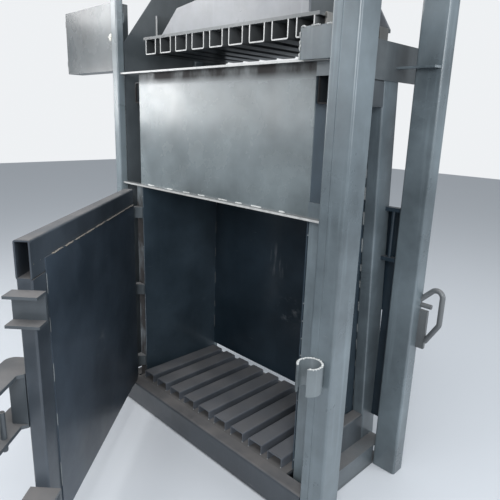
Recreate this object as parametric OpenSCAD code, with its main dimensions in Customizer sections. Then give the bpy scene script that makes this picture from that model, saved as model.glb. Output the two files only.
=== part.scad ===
// Vertical recycling baler: four-post steel frame, bale chamber with a swinging
// front door, and a hydraulic cylinder on a crosshead that drives a ribbed platen.
// Front faces -Y. The origin is on the floor, at the middle of the frame.

/* [Chamber] */
// Inside width of the bale chamber
chamber_w = 1050; // [950:10:1150]
// Inside depth of the bale chamber
chamber_d = 485; // [440:5:520]
// Height of the chamber walls above the floor
wall_top = 1695; // [1600:5:1800]
// Thickness of the chamber sheets
sheet_t = 5; // [3:0.5:8]
// Top face of the floor plate
base_h = 125; // [100:5:160]
// Thickness of the floor plate
floor_t = 8; // [5:1:12]
// Height of the door opening's ledge above the floor
ledge_z = 1168; // [1100:4:1240]

/* [Posts] */
// Overall depth of the frame, front post face to rear post face
frame_d = 602; // [580:2:640]
// Distance from the front post face back to the chamber's front plane
front_set = 103; // [90:1:110]
// Height of the posts
post_h = 2400; // [2300:20:2600]
// Width of the right front post
post_w = 101; // [80:1:120]
// Depth of the right front post
post_d = 107; // [80:1:110]
// Width of the rear posts
rear_post_w = 108; // [80:1:120]
// Depth of the rear posts
rear_post_d = 75; // [60:1:90]
// Width of the slim left front upright
upright_w = 50; // [40:1:60]
// Depth of the slim left front upright
upright_d = 40; // [30:1:50]
// Gap between the left upright and the line of the posts' inner faces
upright_set = 11; // [6:1:20]
// Wall of the posts
post_t = 6; // [4:0.5:8]
// Outer corner radius of the posts
post_r = 9; // [7:0.5:12]

/* [Base] */
// Width of the side beams of the base
base_beam_w = 64; // [50:1:80]
// Height of the side beams of the base
base_beam_h = 97; // [80:1:110]
// Depth of the sill under the door
sill_d = 61; // [50:1:61]
// Width of the floor joists
joist_w = 40; // [30:1:50]
// Wall of the base channels
base_t = 7; // [5:0.5:10]

/* [Ribs] */
// Number of strap ribs on the floor and on the platen
rib_n = 9; // [7:1:11]
// Width of one rib channel
rib_w = 80; // [60:1:84]
// Height of the floor ribs
rib_h = 43; // [35:1:60]
// Height of the platen ribs
platen_rib_h = 65; // [50:1:80]
// Wall of the rib channels
rib_t = 5; // [3:0.5:7]
// Clear strip between the outermost ribs and the chamber wall
rib_margin = 30; // [20:1:40]
// Length of the floor ribs
rib_len = 484; // [450:2:500]

/* [Walls] */
// Width of the tubes that frame the side walls
stile_w = 60; // [50:1:70]
// Depth of the front stiles, front to back
front_stile_d = 60; // [50:1:70]
// Depth of the rear stiles, front to back
rear_stile_d = 105; // [95:1:115]
// Distance from the heads of the rear stiles to the chamber's back
rear_stile_set = 57; // [50:1:80]
// How far the feet of the rear stiles stand back of their heads
rear_stile_lean = 97; // [85:1:110]
// Height of the upper side rails
side_rail_h = 96; // [80:1:110]
// Distance from the top of the wall down to the upper side rails
side_rail_set = 45; // [30:1:60]
// Height of the lower side rails above the floor
low_rail_h = 102; // [80:1:120]
// Height of the strap outlet under the back wall
strap_out = 38; // [30:1:45]
// Height of the top edge of the rear corner plates
corner_top = 1165; // [1100:5:1200]
// Depth of the stiffeners on the back wall
back_rib_d = 40; // [30:1:60]
// Height of the stiffeners on the back wall
back_rib_h = 80; // [60:1:100]
// How far the ledge and top rail stand out of the upper panel
ledge_out = 22; // [14:1:30]
// Thickness of the ledge and top rail
ledge_t = 8; // [5:1:12]

/* [Door] */
// Angle at which the door stands open
door_open = 47.26; // [0:0.01:90]
// Thickness of the door frame
door_frame_t = 49; // [40:1:60]
// Thickness of the door's inner skin
skin_t = 4; // [2:0.5:6]
// Gap between the sill and the door
door_gap = 5; // [3:1:10]
// Height of the door's top edge
door_top = 1148; // [1080:2:1160]
// How far the door laps over the right stile
door_lap = 6; // [0:1:15]
// Distance from the door's outer face back to the stiles
door_stand = 88; // [80:1:98]
// Height of the door's top rail
door_rail_h = 118; // [100:1:130]
// Height of the door's other rails
door_mid_h = 80; // [60:1:100]
// Width of the door's stiles
door_stile_w = 96; // [80:1:110]
// Wall of the door tubes
door_t = 5; // [4:0.5:6]
// Radius of the hinge barrels
barrel_r = 15; // [13:0.5:18]
// Radius of the hinge pins
hinge_pin_r = 8; // [6:0.5:10]
// Length of one half of a hinge barrel
barrel_len = 55; // [40:1:70]
// Distance from the hinge axis to the chamber's left wall
hinge_set = 33; // [28:1:40]
// Height of the stop lugs
lug_h = 97; // [80:1:104]
// How far the stop lugs stand out past the door
lug_out = 58; // [50:1:62]
// Height of the middle of the upper stop lug
lug_high = 952; // [900:1:970]
// Height of the middle of the lower stop lug
lug_low = 279; // [200:1:300]

/* [Latch] */
// Outer radius of the keeper
keeper_r = 46; // [42:0.5:50]
// Wall of the keeper
keeper_t = 8; // [6:0.5:9]
// Height of the keeper
keeper_h = 100; // [80:1:110]
// Height of the keeper's lower edge
keeper_z = 612; // [560:1:640]
// Distance of the keeper's middle past the post's inner edge
keeper_in = 43; // [30:1:55]
// Width of the keeper's mouth
mouth_w = 42; // [40:1:54]
// Thickness of the two latch plates
latch_t = 12; // [8:1:14]
// Gap between the keeper and each latch plate
latch_gap = 6; // [4:1:10]
// Drop of the lower latch plate below the keeper
latch_drop = 55; // [20:1:70]
// Radius of the latch shaft
shaft_r = 16; // [13:0.5:17]
// Narrow width of the locking block on the shaft
cam_w = 35; // [33:0.5:38]
// Long width of the locking block on the shaft
cam_l = 62; // [58:1:66]
// Length of the latch handle
handle_len = 280; // [200:5:320]
// Radius of the latch handle
handle_r = 11; // [8:0.5:12]

/* [Platen] */
// Gap between the platen and the side walls
platen_gap = 12; // [8:1:16]
// Gap between the platen and the back wall
platen_back_gap = 30; // [20:1:35]
// Height of the platen ribs' lower face when raised
platen_z = 1769; // [1740:1:1800]
// Thickness of the platen's plates
platen_t = 12; // [8:1:16]
// Height of the platen's beams
platen_beam_h = 95; // [80:1:110]
// Number of the platen's cross ribs
cross_n = 6; // [4:2:8]
// Travel of the platen below where it is shown
travel_down = 800; // [700:10:800]
// Travel of the platen above where it is shown
travel_up = 150; // [100:10:150]

/* [Cylinder] */
// Outer radius of the cylinder
barrel_out_r = 84; // [80:1:86]
// Bore radius of the cylinder
bore_r = 70; // [66:0.5:72]
// Radius of the piston rod
rod_r = 40; // [35:0.5:45]
// Length of the cylinder
cyl_len = 1150; // [1130:5:1200]
// Height of the cylinder's lower end
cyl_z = 2300; // [2240:5:2320]
// Length of the cylinder's gland
gland_h = 60; // [40:1:70]
// Height of the piston
piston_h = 80; // [60:1:90]
// Radius of the cylinder's flange
flange_r = 135; // [125:1:145]
// Thickness of the cylinder's flange
flange_t = 30; // [20:1:40]
// Radius of the pin through the rod
rod_pin_r = 18; // [14:0.5:20]
// Radial running gap of the rod and of the piston
run_gap = 0.06; // [0.03:0.01:0.09]

/* [Crosshead] */
// Height of the beams on top of the posts
end_beam_h = 100; // [80:5:140]
// Height of the two main beams
main_beam_h = 200; // [160:5:240]
// Width of one main beam
main_beam_w = 70; // [60:1:80]
// Gap between the two main beams
main_gap = 180; // [176:1:200]
// Thickness of the plate under the cylinder's flange
mount_t = 25; // [20:1:40]

/* [Cabinet] */
// Width of the control cabinet
cab_w = 512; // [400:2:600]
// Gap between the control cabinet and the left upright
cab_gap = 40; // [20:1:60]
// Depth of the control cabinet, with its door
cab_d = 80; // [75:1:110]
// Height of the control cabinet
cab_h = 317; // [280:1:400]
// Height of the cabinet's underside
cab_z = 1709; // [1600:1:1760]
// Depth of the cabinet door
cab_door_t = 18; // [12:1:25]
// Wall of the cabinet
cab_t = 4; // [2:0.5:5]
// Radius of the push buttons
button_r = 14; // [10:0.5:16]
// Travel of the push buttons
button_travel = 4; // [3:0.5:5]

/* [Power pack] */
// Width of the oil tank
tank_w = 420; // [360:5:460]
// Depth of the oil tank
tank_d = 380; // [340:5:420]
// Height of the oil tank
tank_h = 300; // [240:5:340]
// Radius of the motor's finned body
motor_r = 90; // [75:1:100]
// Height of the motor's finned body
motor_h = 210; // [180:5:240]
// Number of cooling fins on the motor
fin_n = 28; // [20:1:36]
// Radius of the oil pipes
pipe_r = 10; // [8:0.5:13]

/* [Hidden] */
$fn = 48;

slate = [0.25, 0.29, 0.31];
dark_slate = [0.17, 0.20, 0.22];
dusty = [0.34, 0.33, 0.31];
steel = [0.62, 0.63, 0.64];

// main planes of the frame
front_y = -frame_d / 2;
back_y = frame_d / 2;
wall_x = chamber_w / 2;
stile_x = wall_x + stile_w;
post_x = stile_x + base_beam_w;
upright_x = -post_x - upright_set;
cham_y = front_y + front_set;
cham_back = cham_y + chamber_d;
sill_back = front_y + sill_d;
wall_out = wall_x + sheet_t;
panel_t = 6;
rear_stile_y = cham_back - rear_stile_set - rear_stile_d;
rear_post_y = back_y - rear_post_d;
stile_low = base_beam_h - 40;

// strap ribs
rib_pitch = (chamber_w - 2 * rib_margin - rib_w) / (rib_n - 1);
rib_front = front_y + front_set - door_stand + door_frame_t + skin_t + 3;
rib_back = rib_front + rib_len;

// door, as it stands when shut
door_bottom = base_h + door_gap;
hinge_x = -wall_x - hinge_set;
hinge_y = cham_y - door_stand;
door_left = hinge_x + barrel_r + 1;
door_right = wall_x + door_lap;
door_in = hinge_y + door_frame_t;
hinge_zs = [230, 640, 1050];
skin_lap = 12;
skin_top = door_top - 73;

// latch, as it stands when the door is shut
keeper_c = [post_x + keeper_in, front_y - keeper_r];
keeper_top = keeper_z + keeper_h;
latch_top = keeper_top + latch_gap;
latch_low = keeper_z - latch_drop - latch_t;
latch_far = keeper_c[1] - 44;
latch_end = keeper_c[0] + 44;
latch_near = front_y - 4;
latch_start = door_right - 106;
pivot_gap = 0.08;

// platen and cylinder
platen_x = wall_x - platen_gap;
platen_y0 = cham_y + panel_t + 6;
platen_y1 = cham_back - platen_back_gap;
rib_seat = platen_z + platen_rib_h;
platen_top = rib_seat + platen_t;
cyl_top = cyl_z + cyl_len;
cap_t = 30;
piston_z = cyl_top - cap_t - 5 - piston_h - travel_up;
socket_top = platen_top + 210;
rod_low = platen_top + 110;
rod_pin_z = platen_top + 160;
main_z = post_h + end_beam_h;
mount_z = main_z + main_beam_h;
flange_z = mount_z + mount_t;
bolt_n = 8;
bolt_ring = 114;
bolt_r = 11;

// cabinet
cab_right = upright_x - upright_w - cab_gap;
cab_left = cab_right - cab_w;
cab_front = front_y + front_set - 2;
cab_box_y = cab_front + cab_door_t + 1;
cab_hinge_r = 7;
cab_hinge_zs = [cab_z + 40, cab_z + cab_h - 70];
button_zs = [cab_z + 90, cab_z + 160, cab_hinge_zs[1] - 27];
button_y = (cab_box_y + cab_front + cab_d) / 2;
stem_r = 8;
lock_r = 9;
lock_x = cab_right - 32;
lock_z = cab_z + cab_h / 2;

// power pack
tank_x = post_x * 0.46;
lid_t = 8;
lid_z = mount_z + tank_h + lid_t;
motor_x = tank_x + tank_w * 0.58;
valve_x = tank_x + 60;
valve_y = 95;
pipe_y = 250;

function arc(cx, cy, r, a0, a1, n = 4) =
    [for (i = [0:n]) [cx + r * cos(a0 + (a1 - a0) * i / n), cy + r * sin(a0 + (a1 - a0) * i / n)]];

function round_box(x0, y0, x1, y1, r) = concat(
    arc(x1 - r, y0 + r, r, -90, 0), arc(x1 - r, y1 - r, r, 0, 90),
    arc(x0 + r, y1 - r, r, 90, 180), arc(x0 + r, y0 + r, r, 180, 270));

// sections are drawn in the plane that is left when one axis is taken away:
// (Y, Z) along X, (X, Z) along Y and (X, Y) along Z
module along_x(x0, x1) {
    translate([x0, 0, 0]) rotate([90, 0, 90]) linear_extrude(x1 - x0) children();
}
module along_y(y0, y1) {
    translate([0, y1, 0]) rotate([90, 0, 0]) linear_extrude(y1 - y0) children();
}
module along_z(z0, z1) {
    translate([0, 0, z0]) linear_extrude(z1 - z0) children();
}
module rect(x0, y0, x1, y1) {
    translate([x0, y0]) square([x1 - x0, y1 - y0]);
}
module block(x0, x1, y0, y1, z0, z1) {
    translate([x0, y0, z0]) cube([x1 - x0, y1 - y0, z1 - z0]);
}
// hollow section with round corners
module hollow(x0, y0, x1, y1, t, r) {
    difference() {
        polygon(round_box(x0, y0, x1, y1, r));
        polygon(round_box(x0 + t, y0 + t, x1 - t, y1 - t, max(r - t, 1)));
    }
}
// folded channel section of width w and height h, web down, legs up
module channel(w, h, t, r) {
    polygon(concat([[0, h]], arc(r, r, r, 180, 270), arc(w - r, r, r, 270, 360), [[w, h], [w - t, h]],
        arc(w - r, r, r - t, 360, 270), arc(r, r, r - t, 270, 180), [[t, h]]));
}
module both_sides() {
    children();
    mirror([1, 0, 0]) children();
}
// a shut door turned to where it stands open
module door_pose() {
    translate([hinge_x, hinge_y, 0]) rotate([0, 0, -door_open]) translate([-hinge_x, -hinge_y, 0]) children();
}

// right front post: two channels welded toe to toe, which leaves a seam down the front
module front_post_right() {
    seam_x = post_x + post_w * 0.38;
    color(slate) along_z(0, post_h) difference() {
        hollow(post_x, front_y, post_x + post_w, front_y + post_d, post_t, post_r);
        polygon([[seam_x - 2.5, front_y - 1], [seam_x, front_y + 2], [seam_x + 2.5, front_y - 1]]);
    }
}

module left_upright() {
    color(slate) along_z(0, post_h)
        hollow(upright_x - upright_w, cham_y - 2 - upright_d, upright_x, cham_y - 2, 4, 7);
}

module rear_posts() {
    color(slate) both_sides() along_z(0, post_h)
        hollow(post_x, rear_post_y, post_x + rear_post_w, back_y, post_t, post_r);
}

// folded sill under the door, open to the back
module sill_beam() {
    r = base_t + 5;
    color(slate) along_x(upright_x - upright_w, post_x) translate([front_y, 0])
        polygon(concat([[sill_d, 0], [sill_d, base_t]], arc(r, r, 5, 270, 180),
            arc(r, base_h - r, 5, 180, 90), [[sill_d, base_h - base_t], [sill_d, base_h]],
            arc(r, base_h - r, r, 90, 180), arc(r, r, r, 180, 270)));
}

// side beams with their open side out, and the beam across the back
module base_beams() {
    color(slate) {
        both_sides() along_y(sill_back, back_y) difference() {
            rect(stile_x, 0, post_x, base_beam_h);
            rect(stile_x + base_t, base_t, post_x + 1, base_beam_h - base_t);
        }
        along_x(-wall_out, wall_out) difference() {
            rect(back_y - 60, 0, back_y, base_h - floor_t);
            rect(back_y - 60 + base_t, base_t, back_y - base_t, base_h - floor_t - base_t);
        }
    }
}

module floor_joists() {
    span = wall_out - joist_w / 2;
    color(dark_slate) for (i = [-2:2]) translate([i * span / 2, 0, 0])
        along_y(sill_back, back_y - 60) difference() {
            rect(-joist_w / 2, 0, joist_w / 2, base_h - floor_t);
            rect(-joist_w / 2 + base_t, base_t, joist_w / 2 + 1, base_h - floor_t - base_t);
        }
}

module floor_plate() {
    color(dusty) block(-wall_out, wall_out, sill_back, cham_back + sheet_t, base_h - floor_t, base_h);
}

// channels with the legs down, so that straps can be threaded between them
module floor_ribs() {
    color(dusty) for (i = [0:rib_n - 1])
        translate([(i - (rib_n - 1) / 2) * rib_pitch - rib_w / 2, 0, base_h + rib_h])
            along_y(rib_front, rib_back) mirror([0, 1]) channel(rib_w, rib_h, rib_t, rib_t + 2);
}

module side_wall_sheets() {
    color(dark_slate) both_sides()
        block(wall_x, wall_out, cham_y, cham_back, base_h, wall_top);
}

// it ends above the floor, which leaves an outlet for the straps
module back_wall_sheet() {
    color(dark_slate) block(-wall_out, wall_out, cham_back, cham_back + sheet_t, base_h + strap_out, wall_top);
}

module back_wall_ribs() {
    n = 4;
    first = base_h + 150;
    step = (wall_top - back_rib_h - 60 - first) / (n - 1);
    color(slate) for (i = [0:n - 1]) along_x(10 - wall_x, wall_x - 10)
        translate([cham_back + sheet_t + back_rib_d, first + i * step])
            rotate(90) channel(back_rib_h, back_rib_d, 5, 8);
}

// they stand against the webs of the base beams and carry the ledge
module front_stiles() {
    color(slate) both_sides() along_z(0, ledge_z - ledge_t)
        hollow(wall_out, cham_y, stile_x, cham_y + front_stile_d, 5, 7);
}

// prism of the right rear stile, cut level at both ends
module rear_stile_prism(z0, z1) {
    intersection() {
        translate([0, rear_stile_y + rear_stile_lean, 0]) rotate([atan(rear_stile_lean / wall_top), 0, 0])
            along_z(-60, wall_top + 60) children();
        block(wall_x, post_x, cham_y, back_y + rear_stile_d, z0, z1);
    }
}

// they lean: their heads stand forward of their feet
module rear_stiles() {
    color(slate) both_sides() rear_stile_prism(0, wall_top) hollow(wall_out, 0, stile_x, rear_stile_d, 5, 7);
}

module side_rails() {
    z1 = wall_top - side_rail_set;
    y1 = rear_stile_y + rear_stile_lean + 20;
    color(slate) both_sides() difference() {
        union() {
            along_y(cham_y + front_stile_d, y1) hollow(wall_out, stile_low, stile_x, base_h + low_rail_h, 5, 7);
            along_y(cham_y + 6, y1) hollow(wall_out, z1 - side_rail_h, stile_x, z1, 5, 7);
        }
        rear_stile_prism(stile_low - 1, wall_top) rect(wall_x, 0, post_x, rear_stile_d + 60);
    }
}

module upper_panel() {
    color(slate) block(-wall_out, wall_out, cham_y - panel_t, cham_y, ledge_z, wall_top - ledge_t);
}

// flat bars along the panel's lower and upper edge
module ledge_plates() {
    color(slate) for (z = [ledge_z, wall_top])
        block(upright_x, post_x, cham_y - panel_t - ledge_out, cham_y, z - ledge_t, z);
}

// small plates that tie the panel to the post, and the shelves by the rear posts
module tie_plates() {
    color(slate) {
        for (z = [[ledge_z, ledge_z + 54], [wall_top - ledge_t - 45, wall_top - ledge_t]])
            block(wall_out, post_x, cham_y - panel_t, cham_y, z[0], z[1]);
        block(upright_x, 25 - stile_x, rear_post_y - 32, rear_post_y, wall_top, wall_top + ledge_t);
        along_z(wall_top, wall_top + ledge_t)
            polygon([[stile_x + sheet_t, rear_post_y - 32], [post_x + 92, rear_post_y - 32], [post_x + 100, rear_post_y],
                [stile_x + sheet_t, rear_post_y]]);
    }
}

// plates that close the rear corners, with spacers and a tie rod to the rear posts
module rear_corner_plates() {
    spacer_z = [corner_top - 215, corner_top - 9];
    low = base_h + 75;
    beside = wall_top * (1 - rear_stile_set / rear_stile_lean) + 12;
    mid_x = (stile_x + post_x) / 2;
    color(dark_slate) both_sides() {
        along_y(cham_back, cham_back + sheet_t) polygon([[stile_x, low], [post_x, low], [post_x, corner_top],
            [wall_out, corner_top], [wall_out, beside], [stile_x, beside]]);
        for (z = spacer_z) block(stile_x, post_x, rear_post_y + 2, rear_post_y + 30, z, z + 16);
        translate([mid_x, rear_post_y + 16, spacer_z[0] + 16])
            cylinder(r = 8, h = spacer_z[1] - spacer_z[0] - 16);
    }
}

// length of pipe with a mouth cut down its front, welded to the right post
module keeper_hook() {
    color(slate) translate([keeper_c[0], keeper_c[1], keeper_z]) difference() {
        cylinder(r = keeper_r, h = keeper_h);
        translate([0, 0, -1]) cylinder(r = keeper_r - keeper_t, h = keeper_h + 2);
        translate([-mouth_w / 2, -keeper_r - 1, -1]) cube([mouth_w, keeper_r, keeper_h + 2]);
    }
}

// plates beside the feed opening: the left one climbs to the back, the right one is low
module side_guards() {
    low = wall_top - side_rail_set;
    gx = post_x + upright_set;
    y0 = cham_y - 2;
    rise = 1833 - wall_top;
    color(dark_slate) {
        along_x(-gx - sheet_t, -gx) polygon([[y0, base_beam_h], [rear_post_y, base_beam_h], [rear_post_y, wall_top + 600],
            [y0 + 346, wall_top + 600], [y0, wall_top + rise]]);
        block(-post_x, -wall_x + 55, cham_back, cham_back + sheet_t, wall_top, wall_top + 330);
        block(stile_x, stile_x + sheet_t, front_y + post_d, cham_back + 60, low, wall_top + 89);
    }
}

// stub of channel on the right post at the feed opening
module feed_bracket() {
    stub_h = 100;
    stub_t = 6;
    y1 = cham_y - panel_t - ledge_out;
    color(slate) along_x(post_x - 157, post_x) translate([y1 - 25, wall_top - 6])
        polygon([[0, 0], [25, 0], [25, stub_t], [stub_t, stub_t], [stub_t, stub_h - stub_t],
            [47, stub_h - stub_t], [47, stub_h], [0, stub_h]]);
}

// round rod through the points, bent at each of them to the radius given
module bent_rod(pts, r, bend) {
    n = len(pts) - 1;
    u = [for (i = [0:n - 1]) (pts[i + 1] - pts[i]) / norm(pts[i + 1] - pts[i])];
    back = [for (i = [0:n]) i == 0 || i == n ? 0 : bend * tan(acos(u[i - 1] * u[i]) / 2)];
    for (i = [0:n - 1])
        translate(pts[i] + u[i] * back[i]) rotate([0, acos(u[i][2]), atan2(u[i][1], u[i][0])])
            cylinder(r = r, h = norm(pts[i + 1] - pts[i]) - back[i] - back[i + 1], $fn = 24);
    for (i = [1:1:n - 1]) {
        w = (u[i] - (u[i - 1] * u[i]) * u[i - 1]) / norm(u[i] - (u[i - 1] * u[i]) * u[i - 1]);
        z = cross(-w, u[i - 1]);
        c = pts[i] - u[i - 1] * back[i] + w * bend;
        multmatrix([[-w[0], u[i - 1][0], z[0], c[0]], [-w[1], u[i - 1][1], z[1], c[1]],
            [-w[2], u[i - 1][2], z[2], c[2]], [0, 0, 0, 1]])
            rotate_extrude(angle = acos(u[i - 1] * u[i]), $fn = 24) translate([bend, 0]) circle(r = r, $fn = 24);
    }
}

// bent rod grip with its plate and stub pin, on the right rear post
module rear_handle() {
    x0 = post_x + rear_post_w;
    y = back_y - 11;
    color(slate) {
        difference() {
            bent_rod([[x0 - 8, y, 804], [x0 + 84, y, 896], [x0 + 84, y, 719], [x0 + 33, y, 632]], 11, 26);
            block(x0 - 40, x0, y - 20, y + 20, 760, 840);
        }
        block(x0, x0 + 33, back_y - 20, back_y - 4, 600, 765);
        translate([x0, y, 785]) rotate([0, 90, 0]) cylinder(r = 10, h = 44);
    }
}

module control_cabinet() {
    color(slate) difference() {
        along_y(cab_box_y, cab_front + cab_d) polygon(round_box(cab_left, cab_z, cab_right, cab_z + cab_h, 6));
        along_y(cab_box_y - 1, cab_front + cab_d - cab_t)
            polygon(round_box(cab_left + cab_t, cab_z + cab_t, cab_right - cab_t, cab_z + cab_h - cab_t, 3));
        for (z = button_zs) translate([cab_left - 1, button_y, z]) rotate([0, 90, 0])
            cylinder(r = stem_r + run_gap, h = cab_t + 2);
    }
    // keeper that the lock's cam turns behind
    color(slate) block(cab_right - cab_t - 16, cab_right - cab_t, cab_box_y, cab_box_y + 3, lock_z - 20, lock_z + 20);
    // lower halves of the door's hinges
    color(steel) for (z = cab_hinge_zs)
        translate([cab_left - cab_hinge_r, cab_front + cab_door_t / 2, z]) difference() {
            union() {
                cylinder(r = cab_hinge_r, h = 15);
                translate([0, 0, 0]) cube([cab_hinge_r, cab_door_t / 2 + 20, 15]);
            }
            translate([0, 0, -1]) cylinder(r = 3.06, h = 17);
        }
}

module cabinet_brackets() {
    color(slate) for (z = [cab_z + 60, cab_z + cab_h - 100]) translate([0, 0, z])
        along_z(0, 40) polygon([[cab_right, cham_y - 2], [upright_x - sheet_t, cham_y - 2],
            [upright_x - sheet_t, cham_y + 4], [cab_right + 6, cham_y + 4],
            [cab_right + 6, cab_front + cab_d - 40], [cab_right, cab_front + cab_d - 40]]);
}

// mounting plate on studs with a rail of contactors, a transformer and a row of terminals
module cabinet_gear() {
    back = cab_front + cab_d - cab_t;
    face = cab_box_y + 3;
    gx0 = cab_left + 50;
    gx1 = cab_right - 40;
    color(steel) {
        block(gx0, gx1, back - 15, back - 12, cab_z + 30, cab_z + cab_h - 30);
        for (x = [gx0 + 20, gx1 - 20]) for (z = [cab_z + 50, cab_z + cab_h - 50])
            translate([x, back - 12, z]) rotate([-90, 0, 0]) cylinder(r = 5, h = 12);
        block(gx0 + 20, gx1 - 20, back - 22, back - 15, cab_z + 190, cab_z + 225);
        block(gx0 + 20, gx1 - 20, back - 22, back - 15, cab_z + 80, cab_z + 115);
    }
    color([0.15, 0.15, 0.16]) {
        for (i = [0:3]) block(gx0 + 40 + i * 60, gx0 + 88 + i * 60, face, back - 22, cab_z + 170, cab_z + 245);
        for (i = [0:9]) block(gx0 + 40 + i * 14, gx0 + 52 + i * 14, face + 8, back - 22, cab_z + 75, cab_z + 120);
        block(gx1 - 150, gx1 - 50, face, back - 22, cab_z + 70, cab_z + 150);
    }
}

// pressed tray of a door with the upper halves and the pins of its hinges
module cabinet_door() {
    x0 = cab_left;
    x1 = cab_right - 4;
    color(slate) difference() {
        along_y(cab_front, cab_front + cab_door_t) polygon(round_box(x0, cab_z, x1, cab_z + cab_h, 6));
        along_y(cab_front + 3, cab_front + cab_door_t + 1)
            polygon(round_box(x0 + 3, cab_z + 3, x1 - 3, cab_z + cab_h - 3, 4));
        translate([lock_x, cab_front - 1, lock_z]) rotate([-90, 0, 0]) cylinder(r = lock_r + run_gap, h = 5);
    }
    color(steel) for (z = cab_hinge_zs)
        translate([cab_left - cab_hinge_r, cab_front + cab_door_t / 2, z + 15.2]) {
            cylinder(r = cab_hinge_r, h = 15);
            translate([0, -3, 0]) cube([cab_hinge_r + 2, 6, 15]);
            translate([0, 0, -14]) cylinder(r = 3, h = 14);
        }
}

// quarter turn lock: head, barrel through the door and the cam that reaches behind the wall
module cabinet_lock() {
    color(steel) translate([lock_x, cab_front, lock_z]) rotate([-90, 0, 0]) {
        translate([0, 0, -4]) cylinder(r = lock_r + 4, h = 4);
        cylinder(r = lock_r, h = cab_box_y - cab_front + 8);
        translate([-6, -6, cab_box_y - cab_front + 4]) cube([12, 24, 4]);
        translate([-8, -1.5, -12]) cube([16, 3, 8.5]);
    }
}

// a button's stem, with a flange inside the wall that it can't pull through
module button_body(z, r, cap_h, cap_col) {
    color(cap_col) translate([cab_left, button_y, z]) rotate([0, -90, 0]) {
        translate([0, 0, button_travel + 1]) cylinder(r = r, h = cap_h);
        translate([0, 0, -cab_t - 3]) cylinder(r = stem_r, h = cab_t + button_travel + 4);
        translate([0, 0, -cab_t - 5.4]) cylinder(r = stem_r + 4, h = 5);
    }
}
module start_button() {
    button_body(button_zs[1], button_r, 8, [0.1, 0.5, 0.2]);
}
module stop_button() {
    button_body(button_zs[0], button_r, 8, [0.15, 0.15, 0.16]);
}
module emergency_button() {
    button_body(button_zs[2], button_r + 7, 14, [0.75, 0.08, 0.06]);
}

// beams that lie on the posts, front to back
module crosshead_ends() {
    color(slate) {
        along_y(front_y, back_y) hollow(post_x, post_h, post_x + rear_post_w, main_z, 8, 10);
        along_y(cham_y - 2 - upright_d, back_y) hollow(-post_x - rear_post_w, post_h, -post_x, main_z, 8, 10);
    }
}

module crosshead_beams() {
    x1 = post_x + rear_post_w;
    color(slate) for (s = [-1, 1]) along_x(-x1, x1) scale([s, 1])
        polygon([[main_gap / 2, main_z], [main_gap / 2 + main_beam_w, main_z],
            [main_gap / 2 + main_beam_w, main_z + 10], [main_gap / 2 + 8, main_z + 10],
            [main_gap / 2 + 8, mount_z - 10], [main_gap / 2 + main_beam_w, mount_z - 10],
            [main_gap / 2 + main_beam_w, mount_z], [main_gap / 2, mount_z]]);
}

module cylinder_plate() {
    y1 = main_gap / 2 + main_beam_w;
    color(slate) difference() {
        block(-170, 170, -y1, y1, mount_z, flange_z);
        translate([0, 0, mount_z - 1]) cylinder(r = barrel_out_r + 1, h = mount_t + 2);
        for (i = [0:bolt_n - 1]) rotate(360 / bolt_n * (i + 0.5)) translate([bolt_ring, 0, mount_z - 1])
            cylinder(r = bolt_r - 0.5, h = mount_t + 2);
    }
}

// blind barrel with its flange, and the two port bosses at the back
module cylinder_barrel() {
    port_z = [cyl_z + gland_h + 22, cyl_top - cap_t - 12];
    color(slate) difference() {
        union() {
            rotate_extrude() polygon([[bore_r, cyl_z], [barrel_out_r, cyl_z], [barrel_out_r, flange_z],
                [flange_r, flange_z], [flange_r, flange_z + flange_t - 4], [flange_r - 4, flange_z + flange_t],
                [barrel_out_r, flange_z + flange_t], [barrel_out_r, cyl_top - 6], [barrel_out_r - 6, cyl_top],
                [0, cyl_top], [0, cyl_top - cap_t], [bore_r, cyl_top - cap_t]]);
            for (z = port_z) translate([0, barrel_out_r - 6, z]) rotate([-90, 0, 0]) cylinder(r = 18, h = 26);
        }
        for (z = port_z) translate([0, bore_r - 5, z]) rotate([-90, 0, 0]) cylinder(r = 6, h = 50);
        for (i = [0:bolt_n - 1]) rotate(360 / bolt_n * (i + 0.5)) translate([bolt_ring, 0, flange_z - 1])
            cylinder(r = bolt_r - 0.5, h = flange_t + 2);
    }
}

module cylinder_gland() {
    color(steel) rotate_extrude() polygon([[rod_r + run_gap, cyl_z - 12], [bore_r + 6, cyl_z - 12],
        [bore_r + 6, cyl_z], [bore_r, cyl_z], [bore_r, cyl_z + gland_h], [rod_r + run_gap, cyl_z + gland_h]]);
}

module flange_bolts() {
    color(steel) for (i = [0:bolt_n - 1]) rotate(360 / bolt_n * (i + 0.5)) translate([bolt_ring, 0, 0]) {
        translate([0, 0, mount_z + 1]) cylinder(r = bolt_r - 1, h = mount_t + flange_t);
        translate([0, 0, flange_z + flange_t]) cylinder(r = 17, h = 13, $fn = 6);
    }
}

module piston() {
    g = bore_r - run_gap;
    color(steel) rotate_extrude() polygon([[rod_r - 8, piston_z], [g - 3, piston_z], [g, piston_z + 3],
        [g, piston_z + 24], [g - 3, piston_z + 24], [g - 3, piston_z + 30], [g, piston_z + 30],
        [g, piston_z + 50], [g - 3, piston_z + 50], [g - 3, piston_z + 56], [g, piston_z + 56],
        [g, piston_z + piston_h - 3], [g - 3, piston_z + piston_h], [rod_r - 8, piston_z + piston_h]]);
}

module piston_rod() {
    color([0.8, 0.81, 0.82]) difference() {
        rotate_extrude() polygon([[0, rod_low], [rod_r - 3, rod_low], [rod_r, rod_low + 3], [rod_r, piston_z],
            [rod_r - 8, piston_z], [rod_r - 8, piston_z + piston_h], [0, piston_z + piston_h]]);
        translate([-60, 0, rod_pin_z]) rotate([0, 90, 0]) cylinder(r = rod_pin_r, h = 120);
    }
}

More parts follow.
